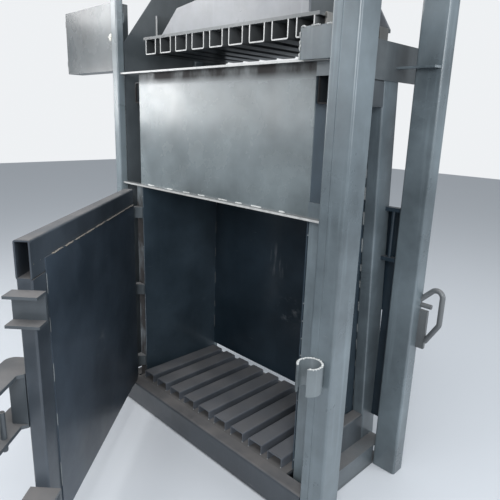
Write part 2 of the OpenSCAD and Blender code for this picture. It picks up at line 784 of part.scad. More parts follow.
// socket for the rod on the platen, cross bored for the pin
module rod_socket() {
    color(slate) difference() {
        rotate_extrude() polygon([[0, platen_top], [90, platen_top], [90, platen_top + 16], [66, platen_top + 40],
            [62, socket_top], [rod_r + 0.3, socket_top], [rod_r + 0.3, rod_low - 0.3], [0, rod_low - 0.3]]);
        translate([-100, 0, rod_pin_z]) rotate([0, 90, 0]) cylinder(r = rod_pin_r, h = 200);
    }
}

module rod_pin() {
    color(steel) translate([-80, 0, rod_pin_z]) rotate([0, 90, 0]) {
        cylinder(r = rod_pin_r, h = 160);
        translate([0, 0, -8]) cylinder(r = rod_pin_r + 6, h = 8);
    }
}

module platen_plate() {
    color(slate) block(-platen_x, platen_x, platen_y0, platen_y1, rib_seat, platen_top);
}

// channels with the legs up, in line with the floor ribs
module platen_ribs() {
    color(slate) for (i = [0:rib_n - 1])
        translate([(i - (rib_n - 1) / 2) * rib_pitch - rib_w / 2, 0, platen_z])
            along_y(platen_y0, platen_y1) channel(rib_w, platen_rib_h, rib_t, rib_t + 2);
}

// upright plates along the front and back; the front one's left end is cut on a slant
module platen_beams() {
    z1 = platen_top + platen_beam_h;
    color(slate) {
        along_y(platen_y0, platen_y0 + platen_t) polygon([[-365, platen_top], [466, platen_top],
            [466, z1], [0, z1 + 30], [-255, z1]]);
        along_y(platen_y1 - platen_t, platen_y1) polygon([[-platen_x, platen_top], [platen_x, platen_top],
            [platen_x - 60, z1], [0, z1 + 30], [60 - platen_x, z1]]);
    }
}

module platen_cross_ribs() {
    edge = platen_x * 0.175;
    step = 2 * (platen_x - edge) / (cross_n - 1);
    color(slate) {
        for (i = [0:cross_n - 1]) translate([-platen_x + edge + i * step, 0, 0])
            if (abs(-platen_x + edge + i * step) > 95)
                block(-platen_t / 2, platen_t / 2, platen_y0 + platen_t, platen_y1 - platen_t,
                    platen_top, platen_top + platen_beam_h - 10);
        // gussets of the rod socket
        for (s = [0, 180]) rotate(s) along_y(-platen_t / 2, platen_t / 2)
            polygon([[90, platen_top], [240, platen_top], [240, platen_top + 30], [66, platen_top + 90],
                [66, platen_top + 40], [90, platen_top + 16]]);
    }
}

module platen_guides() {
    color(steel) both_sides() for (y = [platen_y0 + 30, platen_y1 - 90])
        block(platen_x, platen_x + platen_gap - 3, y, y + 60, platen_z + 20, platen_top);
}

// rails of the door: the top one is open at the free end
module door_rails() {
    rise = door_top - door_rail_h - door_bottom;
    mids = [[door_bottom, 100], for (f = [0.29, 0.578, 0.822]) [door_bottom + f * rise, door_mid_h]];
    color(slate) door_pose() {
        along_x(door_left, door_right)
            hollow(hinge_y, door_top - door_rail_h, door_in, door_top, door_t, door_t + 2);
        for (m = mids) along_x(door_left + door_stile_w, door_right - door_stile_w)
            hollow(hinge_y, m[0], door_in, m[0] + m[1], door_t, door_t + 2);
    }
}

module door_stiles() {
    z1 = door_top - door_rail_h;
    color(slate) door_pose() {
        along_z(door_bottom, z1) hollow(door_left, hinge_y, door_left + door_stile_w, door_in, door_t, door_t + 2);
        along_z(door_bottom, z1) hollow(door_right - door_stile_w, hinge_y, door_right, door_in, door_t, door_t + 2);
    }
}

module door_skin() {
    color(dark_slate) door_pose()
        block(door_left + 8, door_right - door_stile_w + skin_lap, door_in, door_in + skin_t,
            door_bottom + 12, skin_top);
}

// short channels that stand out past the free edge and bear on the right stile
module door_stop_lugs() {
    t = 9;
    color(slate) door_pose() for (z = [lug_low, lug_high]) translate([0, 0, z - lug_h / 2])
        along_y(hinge_y - 14, cham_y - 1) translate([door_right, 0])
            polygon([[0, 0], [lug_out, 0], [lug_out, t], [t, t], [t, lug_h - t], [lug_out, lug_h - t],
                [lug_out, lug_h], [0, lug_h]]);
}

// upper halves of the hinges, welded to the door's edge
module door_hinge_barrels() {
    color(steel) door_pose() for (z = hinge_zs) translate([hinge_x, hinge_y, z]) difference() {
        union() {
            cylinder(r = barrel_r, h = barrel_len);
            translate([0, 4, 0]) cube([barrel_r + 1, 12, barrel_len]);
        }
        translate([0, 0, -1]) cylinder(r = hinge_pin_r + run_gap, h = barrel_len + 2);
    }
}

// lower halves of the hinges, on arms from the left stile
module hinge_brackets() {
    gap = 1;
    color(slate) for (z = hinge_zs) translate([hinge_x, 0, z - barrel_len - gap]) difference() {
        union() {
            translate([0, hinge_y, 0]) cylinder(r = barrel_r, h = barrel_len);
            along_z(0, barrel_len) polygon([[-barrel_r, hinge_y], [4, hinge_y + 8], [4, hinge_y + 14],
                [4, cham_y - 30], [28, cham_y - 6], [28, cham_y], [-24, cham_y], [-24, cham_y - 12]]);
        }
        translate([0, hinge_y, -1]) cylinder(r = hinge_pin_r, h = barrel_len + 2);
    }
}

module hinge_pins() {
    color(steel) for (z = hinge_zs) translate([hinge_x, hinge_y, z]) {
        translate([0, 0, -barrel_len - 1]) cylinder(r = hinge_pin_r, h = 2 * barrel_len + 7);
        translate([0, 0, barrel_len + 2]) cylinder(r = hinge_pin_r + 4, h = 6);
    }
}

// two plates with a stiffening block between them, and the stop pin in the lower one
module latch_plates() {
    pin = [door_right + 75, keeper_c[1] + 22];
    color(slate) door_pose() {
        for (z = [latch_low, latch_top]) difference() {
            along_z(z, z + latch_t) polygon(concat([[latch_start, hinge_y], [door_right, hinge_y],
                [door_right + 12, latch_near], [latch_end - 25, latch_near]],
                arc(latch_end - 25, latch_near - 25, 25, 90, 0), arc(latch_end - 25, latch_far + 25, 25, 0, -90),
                arc(latch_start + 30, latch_far + 30, 30, 270, 180)));
            translate([keeper_c[0], keeper_c[1], z - 1]) cylinder(r = shaft_r + pivot_gap, h = latch_t + 2);
            if (z == latch_low) translate([pin[0], pin[1], z - 1]) cylinder(r = 9, h = latch_t + 2);
        }
        block(door_right - 31, door_right, hinge_y - 52, hinge_y, latch_low + latch_t, latch_top);
        translate([pin[0], pin[1], latch_low - 25]) cylinder(r = 9, h = 125);
        translate([pin[0], pin[1], latch_low - 25]) sphere(r = 9);
    }
}

// upright shaft with its oblong block, which passes the keeper's mouth and then turns
module latch_shaft() {
    z0 = latch_low - 44;
    color(steel) door_pose() translate([keeper_c[0], keeper_c[1], 0]) {
        translate([0, 0, z0]) cylinder(r = shaft_r, h = latch_top + latch_t + 12 - z0);
        translate([0, 0, latch_top + latch_t + 1]) cylinder(r = shaft_r + 8, h = 9);
        translate([0, 0, keeper_z + 6]) intersection() {
            cylinder(r = cam_l / 2, h = keeper_h - 12);
            translate([-cam_w / 2, -cam_l, 0]) cube([cam_w, 2 * cam_l, keeper_h - 12]);
        }
    }
}

module latch_handle() {
    z0 = latch_low - 40;
    color(steel) door_pose() translate([keeper_c[0], keeper_c[1], z0]) difference() {
        union() {
            cylinder(r = shaft_r + 10, h = 36);
            translate([0, -shaft_r - 4, 16]) rotate([90, 0, 0]) cylinder(r = handle_r, h = handle_len - shaft_r);
            translate([0, -handle_len - 4, 16]) sphere(r = handle_r + 8);
        }
        translate([0, 0, -1]) cylinder(r = shaft_r, h = 38);
    }
}

module oil_tank() {
    color(slate) {
        along_z(mount_z, mount_z + tank_h)
            polygon(round_box(tank_x, -tank_d / 2, tank_x + tank_w, tank_d / 2, 18));
        along_z(mount_z + tank_h, lid_z)
            polygon(round_box(tank_x - 12, -tank_d / 2 - 12, tank_x + tank_w + 12, tank_d / 2 + 12, 12));
        translate([tank_x + 60, -tank_d / 2 + 60, lid_z]) cylinder(r = 28, h = 34);
    }
}

// flange motor standing on the tank's lid, with fins and a fan cover
module pump_motor() {
    root_r = motor_r - 22;
    fins = [for (i = [0:fin_n - 1]) for (c = [[root_r, -1], [motor_r, -1], [motor_r, 1], [root_r, 1]])
        let (a = 360 / fin_n * i + c[1] * asin(2 / c[0])) [c[0] * cos(a), c[0] * sin(a)]];
    color([0.35, 0.42, 0.48]) translate([motor_x, 0, lid_z]) {
        cylinder(r = motor_r + 12, h = 14);
        translate([0, 0, 14]) linear_extrude(motor_h) polygon(fins);
        translate([-45, -motor_r - 30, 60]) cube([90, 50, 90]);
        translate([0, 0, 14 + motor_h]) rotate_extrude() polygon([[0, 0], [motor_r + 2, 0], [motor_r + 2, 62],
            [motor_r - 16, 80], [0, 80]]);
    }
}

// directional valve with a solenoid at each end
module valve_block() {
    color(steel) translate([valve_x, valve_y, lid_z]) {
        translate([-40, -35, 0]) cube([80, 70, 50]);
        translate([-35, -30, 50]) cube([70, 60, 45]);
        for (s = [-1, 1]) translate([0, s * 30, 72]) rotate([-90 * s, 0, 0]) cylinder(r = 20, h = 62);
    }
}

// rigid pipes from the valve to the cylinder's two ports
module oil_pipes() {
    x0 = valve_x - 40;
    y_port = barrel_out_r + 20;
    z_low = cyl_z + gland_h + 22;
    z_high = cyl_top - cap_t - 12;
    color(steel) {
        bent_rod([[x0, valve_y + 15, lid_z + 30], [x0 - 120, valve_y + 15, lid_z + 30],
            [x0 - 120, pipe_y, lid_z + 30], [0, pipe_y, lid_z + 30], [0, pipe_y, z_low],
            [0, y_port, z_low]], pipe_r, 30);
        bent_rod([[x0, valve_y - 15, lid_z + 30], [x0 - 60, valve_y - 15, lid_z + 30],
            [x0 - 60, valve_y - 15, z_high], [x0 - 60, y_port + 60, z_high], [0, y_port + 60, z_high],
            [0, y_port, z_high]], pipe_r, 30);
    }
}

front_post_right();
left_upright();
rear_posts();
sill_beam();
base_beams();
floor_joists();
floor_plate();
floor_ribs();
side_wall_sheets();
back_wall_sheet();
back_wall_ribs();
front_stiles();
rear_stiles();
side_rails();
upper_panel();
ledge_plates();
tie_plates();
rear_corner_plates();
keeper_hook();
side_guards();
feed_bracket();
rear_handle();
control_cabinet();
cabinet_gear();
cabinet_brackets();
cabinet_door();
cabinet_lock();
start_button();
stop_button();
emergency_button();
crosshead_ends();
crosshead_beams();
cylinder_plate();
cylinder_barrel();
cylinder_gland();
flange_bolts();
piston();
piston_rod();
rod_socket();
rod_pin();
platen_plate();
platen_ribs();
platen_beams();
platen_cross_ribs();
platen_guides();
door_rails();
door_stiles();
door_skin();
door_stop_lugs();
door_hinge_barrels();
hinge_brackets();
hinge_pins();
latch_plates();
latch_shaft();
latch_handle();
oil_tank();
pump_motor();
valve_block();
oil_pipes();
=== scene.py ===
import bpy
import bmesh
import math
import random
from mathutils import Matrix, Vector


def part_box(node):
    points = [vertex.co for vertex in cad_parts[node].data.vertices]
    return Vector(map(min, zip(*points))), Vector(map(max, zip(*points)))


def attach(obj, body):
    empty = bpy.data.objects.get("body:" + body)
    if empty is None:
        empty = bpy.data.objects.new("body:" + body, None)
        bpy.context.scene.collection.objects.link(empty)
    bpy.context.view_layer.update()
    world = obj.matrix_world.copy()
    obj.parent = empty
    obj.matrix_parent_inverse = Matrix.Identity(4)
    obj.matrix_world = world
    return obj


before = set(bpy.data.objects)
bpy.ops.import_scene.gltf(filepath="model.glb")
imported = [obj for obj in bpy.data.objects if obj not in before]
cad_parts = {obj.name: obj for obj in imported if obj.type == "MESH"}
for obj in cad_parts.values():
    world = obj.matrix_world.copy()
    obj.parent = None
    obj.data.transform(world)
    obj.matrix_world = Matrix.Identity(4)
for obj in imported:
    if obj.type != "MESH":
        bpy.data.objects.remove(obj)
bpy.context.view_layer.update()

# Camera
# It stands about 1.6 m to the right of the baler's middle and 1.6 m in front of it, at eye level,
# and looks down into the open chamber, so the upright posts lean outwards in the picture.
heading = math.radians(44.87939)
tilt = math.radians(14.75085)
roll = math.radians(1.89061)
eye = Vector((1.6162, -1.5777, 1.5))
sensor = 36
image_px = 500
focal_px = 499.868
look = Vector((-math.sin(heading) * math.cos(tilt), math.cos(heading) * math.cos(tilt), -math.sin(tilt)))
level = Vector((math.cos(heading), math.sin(heading), 0))
upward = level.cross(look)
right = math.cos(roll) * level + math.sin(roll) * upward
up = -math.sin(roll) * level + math.cos(roll) * upward
camera = bpy.data.objects.new("camera", bpy.data.cameras.new("camera"))
bpy.context.scene.collection.objects.link(camera)
camera.matrix_world = Matrix(((right.x, up.x, -look.x, eye.x), (right.y, up.y, -look.y, eye.y),
                              (right.z, up.z, -look.z, eye.z), (0, 0, 0, 1)))
camera.data.sensor_width = sensor
camera.data.lens = focal_px / image_px * sensor
camera.data.clip_start = 0.05
bpy.context.scene.camera = camera

# Floor and light
# A pale plain floor, a pale surround and eight soft lamps: one overhead, two at the right, one fill
# and, at the left, four whose reflections fall on the upper panel, the cabinet and the platen.
bpy.context.scene.view_settings.view_transform = "Standard"
floor_mesh = bpy.data.meshes.new("studio_floor")
reach = 14
floor_mesh.from_pydata([(-reach, -reach, 0), (reach, -reach, 0), (reach, reach, 0), (-reach, reach, 0)],
                       [], [(0, 1, 2, 3)])
floor = bpy.data.objects.new("studio_floor", floor_mesh)
floor.location.z = -0.001
bpy.context.scene.collection.objects.link(floor)
floor_paint = bpy.data.materials.new("pale_floor")
floor_paint.use_nodes = True
tree = floor_paint.node_tree
shader = tree.nodes["Principled BSDF"]
cloud = tree.nodes.new("ShaderNodeTexNoise")
cloud.inputs["Scale"].default_value = 0.9
cloud.inputs["Detail"].default_value = 5
tint = tree.nodes.new("ShaderNodeValToRGB")
tint.color_ramp.elements[0].color = (0.57, 0.59, 0.62, 1)
tint.color_ramp.elements[1].color = (0.67, 0.69, 0.72, 1)
tree.links.new(cloud.outputs["Fac"], tint.inputs["Fac"])
tree.links.new(tint.outputs["Color"], shader.inputs["Base Color"])
shader.inputs["Roughness"].default_value = 0.42
floor_mesh.materials.append(floor_paint)

world = bpy.data.worlds.new("studio")
bpy.context.scene.world = world
world.use_nodes = True
tree = world.node_tree
tree.nodes.clear()
seen = tree.nodes.new("ShaderNodeLightPath")
either = tree.nodes.new("ShaderNodeMath")
either.operation = "MAXIMUM"
tree.links.new(seen.outputs["Is Camera Ray"], either.inputs[0])
tree.links.new(seen.outputs["Is Transmission Ray"], either.inputs[1])
dim = tree.nodes.new("ShaderNodeBackground")
dim.inputs["Color"].default_value = (0.80, 0.86, 0.92, 1)
dim.inputs["Strength"].default_value = 0.50
pale = tree.nodes.new("ShaderNodeBackground")
pale.inputs["Color"].default_value = (0.86, 0.88, 0.90, 1)
pale.inputs["Strength"].default_value = 1.0
pick = tree.nodes.new("ShaderNodeMixShader")
tree.links.new(either.outputs[0], pick.inputs["Fac"])
tree.links.new(dim.outputs[0], pick.inputs[1])
tree.links.new(pale.outputs[0], pick.inputs[2])
out = tree.nodes.new("ShaderNodeOutputWorld")
tree.links.new(pick.outputs[0], out.inputs["Surface"])


def soft_lamp(name, place, target, size, power, colour=(1, 1, 1)):
    """A rectangular lamp that stands at one place and faces another."""
    lamp = bpy.data.lights.new(name, "AREA")
    lamp.shape = "RECTANGLE"
    lamp.size, lamp.size_y = size
    lamp.energy = power
    lamp.color = colour
    ob = bpy.data.objects.new(name, lamp)
    ob.location = place
    ob.rotation_euler = (Vector(target) - Vector(place)).to_track_quat("-Z", "Y").to_euler()
    bpy.context.scene.collection.objects.link(ob)


daylight = (0.96, 0.98, 1)
soft_lamp("lamp_roof", (0.8, -1.2, 5.6), (0.2, -0.3, 1.0), size=(4.0, 3.0), power=170, colour=daylight)
soft_lamp("lamp_panel_band", (-2.45, -2.3, 1.68), (0, -0.2, 1.6), size=(2.5, 0.5), power=17)
soft_lamp("lamp_panel_spot", (-3.35, -2.3, 1.70), (-0.4, -0.2, 1.62), size=(0.36, 0.45), power=7)
soft_lamp("lamp_cabinet", (-4.35, -2.27, 2.35), (-0.8, -0.2, 1.87), size=(0.16, 0.60), power=1.5)
soft_lamp("lamp_platen", (-2.6, -2.3, 2.65), (0, -0.2, 1.95), size=(2.6, 0.6), power=36)
soft_lamp("lamp_left_fill", (-3.6, -3.4, 3.9), (-0.3, -0.2, 1.0), size=(1.6, 1.6), power=22)
soft_lamp("lamp_front_right", (3.2, -3.6, 2.9), (0.6, -0.3, 1.5), size=(2.0, 2.0), power=135, colour=daylight)
soft_lamp("lamp_back_right", (4.2, 1.2, 2.4), (0.7, 0.2, 1.2), size=(2.4, 2.4), power=85,
          colour=(0.93, 0.97, 1))

# Base frame
# Folded channels welded into a tray on the floor: a sill under the door, two side beams, one beam
# across the back and five joists under the floor plate. Sprayed dark slate grey, dusty on top.


def slate_paint(name, colour, dust=0.5, shine=0.34, cut=None, streak=0.25, painted_shade=None, rubs=()):
    """Sprayed dark paint: cloudy tone, runs down the sides and dust on top. cut: an axis and a sign, bare
    steel on the faces that look that way. grime: an axis, where it starts and where it is full; there the
    colour is painted darker and less glossy, as painted shade. rubs: pale marks, each a place, a radius
    and a grain."""
    dust_colour = (0.162, 0.152, 0.147)
    painted_shade_colour = (0.030, 0.028, 0.028)
    steel_colour = (0.46, 0.46, 0.45)
    scratch_colour = (0.30, 0.30, 0.29)
    rub_colour = (0.17, 0.18, 0.19)
    gloss = 0.5
    clear_coat = 0.25
    mat = bpy.data.materials.new(name)
    mat.use_nodes = True
    tree = mat.node_tree
    link = tree.links.new
    shader = tree.nodes["Principled BSDF"]
    place = tree.nodes.new("ShaderNodeTexCoord")
    geo = tree.nodes.new("ShaderNodeNewGeometry")

    def noise(scale, detail, stretch=(1, 1, 1)):
        size = tree.nodes.new("ShaderNodeMapping")
        size.inputs["Scale"].default_value = stretch
        link(place.outputs["Object"], size.inputs["Vector"])
        tex = tree.nodes.new("ShaderNodeTexNoise")
        tex.inputs["Scale"].default_value = scale
        tex.inputs["Detail"].default_value = detail
        tex.inputs["Roughness"].default_value = 0.6
        link(size.outputs[0], tex.inputs["Vector"])
        return tex.outputs["Fac"]

    def ramp(value, low, high, a=0.0, b=1.0):
        band = tree.nodes.new("ShaderNodeMapRange")
        band.inputs["From Min"].default_value = low
        band.inputs["From Max"].default_value = high
        band.inputs["To Min"].default_value = a
        band.inputs["To Max"].default_value = b
        link(value, band.inputs["Value"])
        return band.outputs[0]

    def joined(a, b, how="MULTIPLY"):
        m = tree.nodes.new("ShaderNodeMath")
        m.operation = how
        link(a, m.inputs[0])
        link(b, m.inputs[1])
        return m.outputs[0]

    def mixed(fac, a, b):
        m = tree.nodes.new("ShaderNodeMix")
        m.data_type = "RGBA"
        link(fac, m.inputs["Factor"])
        for socket, value in (("A", a), ("B", b)):
            slot = [s for s in m.inputs if s.name == socket and s.type == "RGBA"][0]
            if isinstance(value, tuple):
                slot.default_value = value + (1,)
            else:
                link(value, slot)
        return [s for s in m.outputs if s.type == "RGBA"][0]

    light = tuple(min(c * 1.35 + 0.006, 1) for c in colour)
    dark = tuple(c * 0.72 for c in colour)
    col = mixed(ramp(noise(2.6, 6), 0.36, 0.64), dark, light)
    # runs and rub marks down the sides
    runs = ramp(noise(1.0, 5, (38, 38, 1.6)), 0.56, 0.78, 0, streak)
    col = mixed(runs, col, tuple(min(c * 1.9 + 0.02, 1) for c in colour))
    # fine pale scratches
    scratch = ramp(noise(1.0, 3, (9, 9, 120)), 0.70, 0.74, 0, 0.25)
    col = mixed(joined(scratch, ramp(noise(4, 2), 0.5, 0.6)), col, scratch_colour)
    # dust that lies on the faces that look up
    split = tree.nodes.new("ShaderNodeSeparateXYZ")
    link(geo.outputs["Normal"], split.inputs[0])
    top = ramp(split.outputs["Z"], 0.55, 0.95)
    powder = joined(top, ramp(noise(7, 8), 0.30, 0.70, 0.35 * dust, dust))
    col = mixed(powder, col, dust_colour)
    rough = ramp(noise(5, 5), 0.3, 0.7, shine - 0.07, shine + 0.10)
    rough = joined(rough, ramp(powder, 0, 1, 0, 0.40), "ADD")
    shader.inputs["Specular IOR Level"].default_value = gloss
    shader.inputs["Coat Weight"].default_value = clear_coat
    if cut:
        axis, sign = cut
        face = ramp(split.outputs[axis], 0.85 * sign, 0.97 * sign)
        face = joined(face, ramp(noise(30, 4), 0.25, 0.5, 0.55, 1))
        col = mixed(face, col, steel_colour)
    # painted shade: along one axis the colour is darkened and the gloss and clear coat are taken off
    if painted_shade:
        axis, start, full = painted_shade
        spot = tree.nodes.new("ShaderNodeSeparateXYZ")
        link(place.outputs["Object"], spot.inputs[0])
        shade_mask = ramp(spot.outputs[axis], start, full)
        shade_mask = joined(shade_mask, ramp(noise(9, 7, (1, 1, 0.5)), 0.34, 0.56, 0.3, 1))
        col = mixed(shade_mask, col, painted_shade_colour)
        rough = joined(rough, ramp(shade_mask, 0, 1, 0, 0.35), "ADD")
        link(ramp(shade_mask, 0, 1, gloss, 0.1), shader.inputs["Specular IOR Level"])
        link(ramp(shade_mask, 0, 1, clear_coat, 0), shader.inputs["Coat Weight"])
    for centre, radius, grain in rubs:
        away = tree.nodes.new("ShaderNodeVectorMath")
        away.operation = "DISTANCE"
        link(place.outputs["Object"], away.inputs[0])
        away.inputs[1].default_value = centre
        near = ramp(away.outputs["Value"], 0.3 * radius, radius, 1, 0)
        col = mixed(joined(near, ramp(noise(1.0, 4, grain), 0.54, 0.66, 0, 0.5)), col, rub_colour)
    link(col, shader.inputs["Base Color"])
    link(rough, shader.inputs["Roughness"])
    shader.inputs["Coat Roughness"].default_value = 0.18
    bump = tree.nodes.new("ShaderNodeBump")
    bump.inputs["Strength"].default_value = 0.10
    bump.inputs["Distance"].default_value = 0.002
    link(noise(22, 6), bump.inputs["Height"])
    link(bump.outputs[0], shader.inputs["Normal"])
    return mat


def coat(material, *names):
    """Gives the CAD nodes of these names a material."""
    for name in names:
        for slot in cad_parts[name].material_slots:
            slot.material = material


def soften(width, *names):
    """Rounds the sharp edges of the CAD nodes of these names."""
    for name in names:
        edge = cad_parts[name].modifiers.new("edge", "BEVEL")
        edge.width = width
        edge.segments = 2
        edge.limit_method = "ANGLE"
        edge.angle_limit = math.radians(40)


sill_paint = slate_paint("sill_paint", (0.030, 0.036, 0.044), dust=1.0, shine=0.42)
coat(sill_paint, "sill_beam", "floor_joists")
base_paint = slate_paint("base_paint", (0.060, 0.072, 0.080), dust=0.85, shine=0.38)
coat(base_paint, "base_beams")
soften(0.0015, "sill_beam", "base_beams")


def points_of(name):
    """The corners of a CAD node's mesh, in the world."""
    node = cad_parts[name]
    return [node.matrix_world @ v.co for v in node.data.vertices]


def flat_plate(name, corners, thickness, body, paint):
    """A plate with softened edges: corners of one face, in order, and the thickness behind it."""
    edge = min(0.0008, thickness * 0.3)
    bm = bmesh.new()
    face = bm.faces.new([bm.verts.new(c) for c in corners])
    bm.normal_update()
    back = -face.normal * thickness
    made = bmesh.ops.extrude_face_region(bm, geom=[face])
    far = [v for v in made["geom"] if isinstance(v, bmesh.types.BMVert)]
    bmesh.ops.translate(bm, verts=far, vec=back)
    bmesh.ops.recalc_face_normals(bm, faces=bm.faces)
    bmesh.ops.bevel(bm, geom=bm.edges[:], offset=edge, segments=2, affect="EDGES")
    mesh = bpy.data.meshes.new(name)
    bm.to_mesh(mesh)
    bm.free()
    mesh.materials.append(paint)
    ob = bpy.data.objects.new(name, mesh)
    bpy.context.scene.collection.objects.link(ob)
    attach(ob, body)


lip = 0.0075
web_t = 0.005
web_gap = 0.002
recess = 0.001
base_low, base_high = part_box("base_beams")
side_top = max(p.z for p in points_of("base_beams") if p.x > base_high[0] - recess)
z0 = base_low[2] + lip
z1 = side_top - lip
y0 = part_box("sill_beam")[1][1] + web_gap
y1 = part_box("rear_posts")[0][1] - web_gap
for side, label in ((-1, "left"), (1, "right")):
    x_web = side * (base_high[0] - recess)
    web = [(x_web, y0, z0), (x_web, y1, z0), (x_web, y1, z1), (x_web, y0, z1)]
    flat_plate("base_web_" + label, web[::side], thickness=web_t, body="frame", paint=base_paint)
plate_paint = slate_paint("floor_plate_paint", (0.040, 0.041, 0.042), dust=0.7, shine=0.55)
coat(plate_paint, "floor_plate")

# Posts
# The right front post is two channels welded toe to toe, with the seam left down its front. The rear
# posts are oblong tubes and the left upright is a slim tube. Glossy paint with runs and rub marks.
post_paint = slate_paint("post_paint", (0.104, 0.128, 0.142), dust=0.5, shine=0.30, streak=0.45)
coat(post_paint, "front_post_right", "rear_posts")
# The left upright has the posts' slate paint, made lighter as painted reflection of the bright window on its
# glossy faces.
upright_paint_and_reflection = slate_paint("upright_paint_and_reflection", (0.140, 0.168, 0.182), dust=0.5, shine=0.30, streak=0.45)
coat(upright_paint_and_reflection, "left_upright")

# Chamber walls
# Flat sheets welded inside a frame of tubes, with channels across the back. The inside is darker,
# scuffed by cardboard, and pale where bales have rubbed the paint.
back_rubs = [((-0.035, 0.287, 0.79), 0.10, (45, 45, 5)), ((0.055, 0.287, 0.54), 0.10, (14, 14, 22))]
wall_paint = slate_paint("wall_paint", (0.006, 0.016, 0.026), dust=0.4, shine=0.48, streak=0.10,
                         rubs=back_rubs)
coat(wall_paint, "back_wall_sheet", "rear_corner_plates")
side_paint = slate_paint("side_wall_paint", (0.027, 0.043, 0.058), dust=0.4, shine=0.42, streak=0.10)
coat(side_paint, "side_wall_sheets")
tube_paint = slate_paint("tube_paint", (0.098, 0.121, 0.135), dust=0.5, shine=0.34, streak=0.35)
coat(tube_paint, "rear_stiles", "back_wall_ribs")
# The front stiles take a lighter copy of the tube paint as painted highlight where the right stile catches
# the light; past X -0.40 m the left stile is darkened as painted shade of the door.
stile_light_and_shade_paint = slate_paint("stile_light_and_shade_paint", (0.132, 0.160, 0.176), dust=0.5, shine=0.34, streak=0.35,
                          painted_shade=("X", -0.40, -0.50))
coat(stile_light_and_shade_paint, "front_stiles")
rail_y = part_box("side_rails")[0][1]
# Dark paint on the side rails; their open front ends are darkened further and lose their gloss, as painted
# shade of the recess beside the panel.
rail_shade_paint = slate_paint("rail_shade_paint", (0.042, 0.050, 0.057), dust=0.8, shine=0.38,
                         painted_shade=("Y", rail_y + 0.015, rail_y + 0.004))
coat(rail_shade_paint, "side_rails")


def weld_bead(name, runs, width, body, seed, paint, wander=0.1):
    """Rippled beads of weld, one along each run from a point to another, joined in one mesh."""
    rnd = random.Random(seed)
    bm = bmesh.new()
    sides = 8
    ripple_pitch = 0.0035
    for a, b in runs:
        a, b = Vector(a), Vector(b)
        run = (b - a).normalized()
        side = run.orthogonal().normalized()
        other = run.cross(side)
        steps = max(3, int((b - a).length / ripple_pitch))
        rings = []
        for i in range(steps + 1):
            t = i / steps
            end = min(1, 0.35 + 8 * min(t, 1 - t))
            r = width / 2 * end * (1 + 0.16 * math.sin(i * 1.9) + rnd.uniform(-0.10, 0.10))
            stray = side * rnd.uniform(-wander, wander) + other * rnd.uniform(-wander, wander)
            mid = a.lerp(b, t) + width * stray
            turns = [math.tau * k / sides for k in range(sides)]
            rings.append([bm.verts.new(mid + r * (side * math.cos(turn) + other * math.sin(turn)))
                          for turn in turns])
        for p, q in zip(rings, rings[1:]):
            for k in range(sides):
                bm.faces.new((p[k], p[(k + 1) % sides], q[(k + 1) % sides], q[k]))
        bm.faces.new(rings[0][::-1])
        bm.faces.new(rings[-1])
    bmesh.ops.recalc_face_normals(bm, faces=bm.faces)
    mesh = bpy.data.meshes.new(name)
    bm.to_mesh(mesh)
    bm.free()
    for face in mesh.polygons:
        face.use_smooth = True
    mesh.materials.append(paint)
    ob = bpy.data.objects.new(name, mesh)
    bpy.context.scene.collection.objects.link(ob)
    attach(ob, body)


def stitches(a, b, run, gap, seed):
    """Short runs of weld along a line, of uneven length, with gaps between them."""
    a, b = Vector(a), Vector(b)
    rnd = random.Random(seed)
    length = (b - a).length
    at = rnd.uniform(0, gap)
    runs = []
    while at + run * 0.5 < length:
        end = min(at + run * rnd.uniform(0.6, 1.4), length)
        runs.append((a.lerp(b, at / length), a.lerp(b, end / length)))
        at = end + gap * rnd.uniform(0.6, 1.5)
    return runs

dark_weld = slate_paint("dark_weld", (0.060, 0.066, 0.070), dust=0.3, shine=0.38, streak=0.1)
grey_weld = slate_paint("grey_weld", (0.20, 0.21, 0.21), dust=0.4, shine=0.40, streak=0.1)
sheet_low, sheet_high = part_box("side_wall_sheets")
sheet_t = 0.005
seated = 0.001
x_in = sheet_high[0] - sheet_t
y_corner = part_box("back_wall_sheet")[0][1] - seated
z_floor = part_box("floor_plate")[1][2]
tack_n = 15
tack_pitch = 0.067
tack_long = 0.006
y_tack = sheet_low[1] + 0.0018
# the door's stop lugs land on the sheets' edges, so no tack stands there
lug_clear = 0.05
lug_zs = [p.z for p in points_of("door_stop_lugs")]
corner_runs = []
front_tacks = []
for side in (-1, 1):
    corner = side * (x_in - seated)
    corner_runs += stitches((corner, y_corner, z_floor + 0.06), (corner, y_corner, sheet_high[2]),
                            run=0.06, gap=0.08, seed=3 + side)
    x_tack = side * sheet_high[0]
    for k in range(tack_n):
        z = z_floor + 0.04 + tack_pitch * k + 0.006 * math.sin(7 * k)
        if all(abs(z - lug_z) > lug_clear for lug_z in lug_zs):
            front_tacks.append(((x_tack, y_tack, z), (x_tack, y_tack, z + tack_long)))
weld_bead("chamber_corner_welds", corner_runs, width=0.005, body="frame", seed=3, paint=dark_weld)
weld_bead("wall_edge_tacks", front_tacks, width=0.005, body="frame", seed=4, paint=grey_weld)
stile = [p for p in points_of("rear_stiles") if p.x > 0]
x_stile = min(p.x for p in stile)
z_top = max(p.z for p in stile)
z_foot = z_floor + 0.02
y_top = min(p.y for p in stile if p.z > z_top - 0.002)
y_foot = min(p.y for p in stile if p.z < min(q.z for q in stile) + 0.002)
stile_runs = []
for side in (-1, 1):
    x_run = side * (x_stile + 0.001)
    stile_runs += stitches((x_run, y_foot - 0.002, z_foot), (x_run, y_top - 0.002, z_top - 0.02),
                           run=0.045, gap=0.05, seed=8 + side)
weld_bead("rear_stile_welds", stile_runs, width=0.006, body="frame", seed=6, paint=grey_weld)

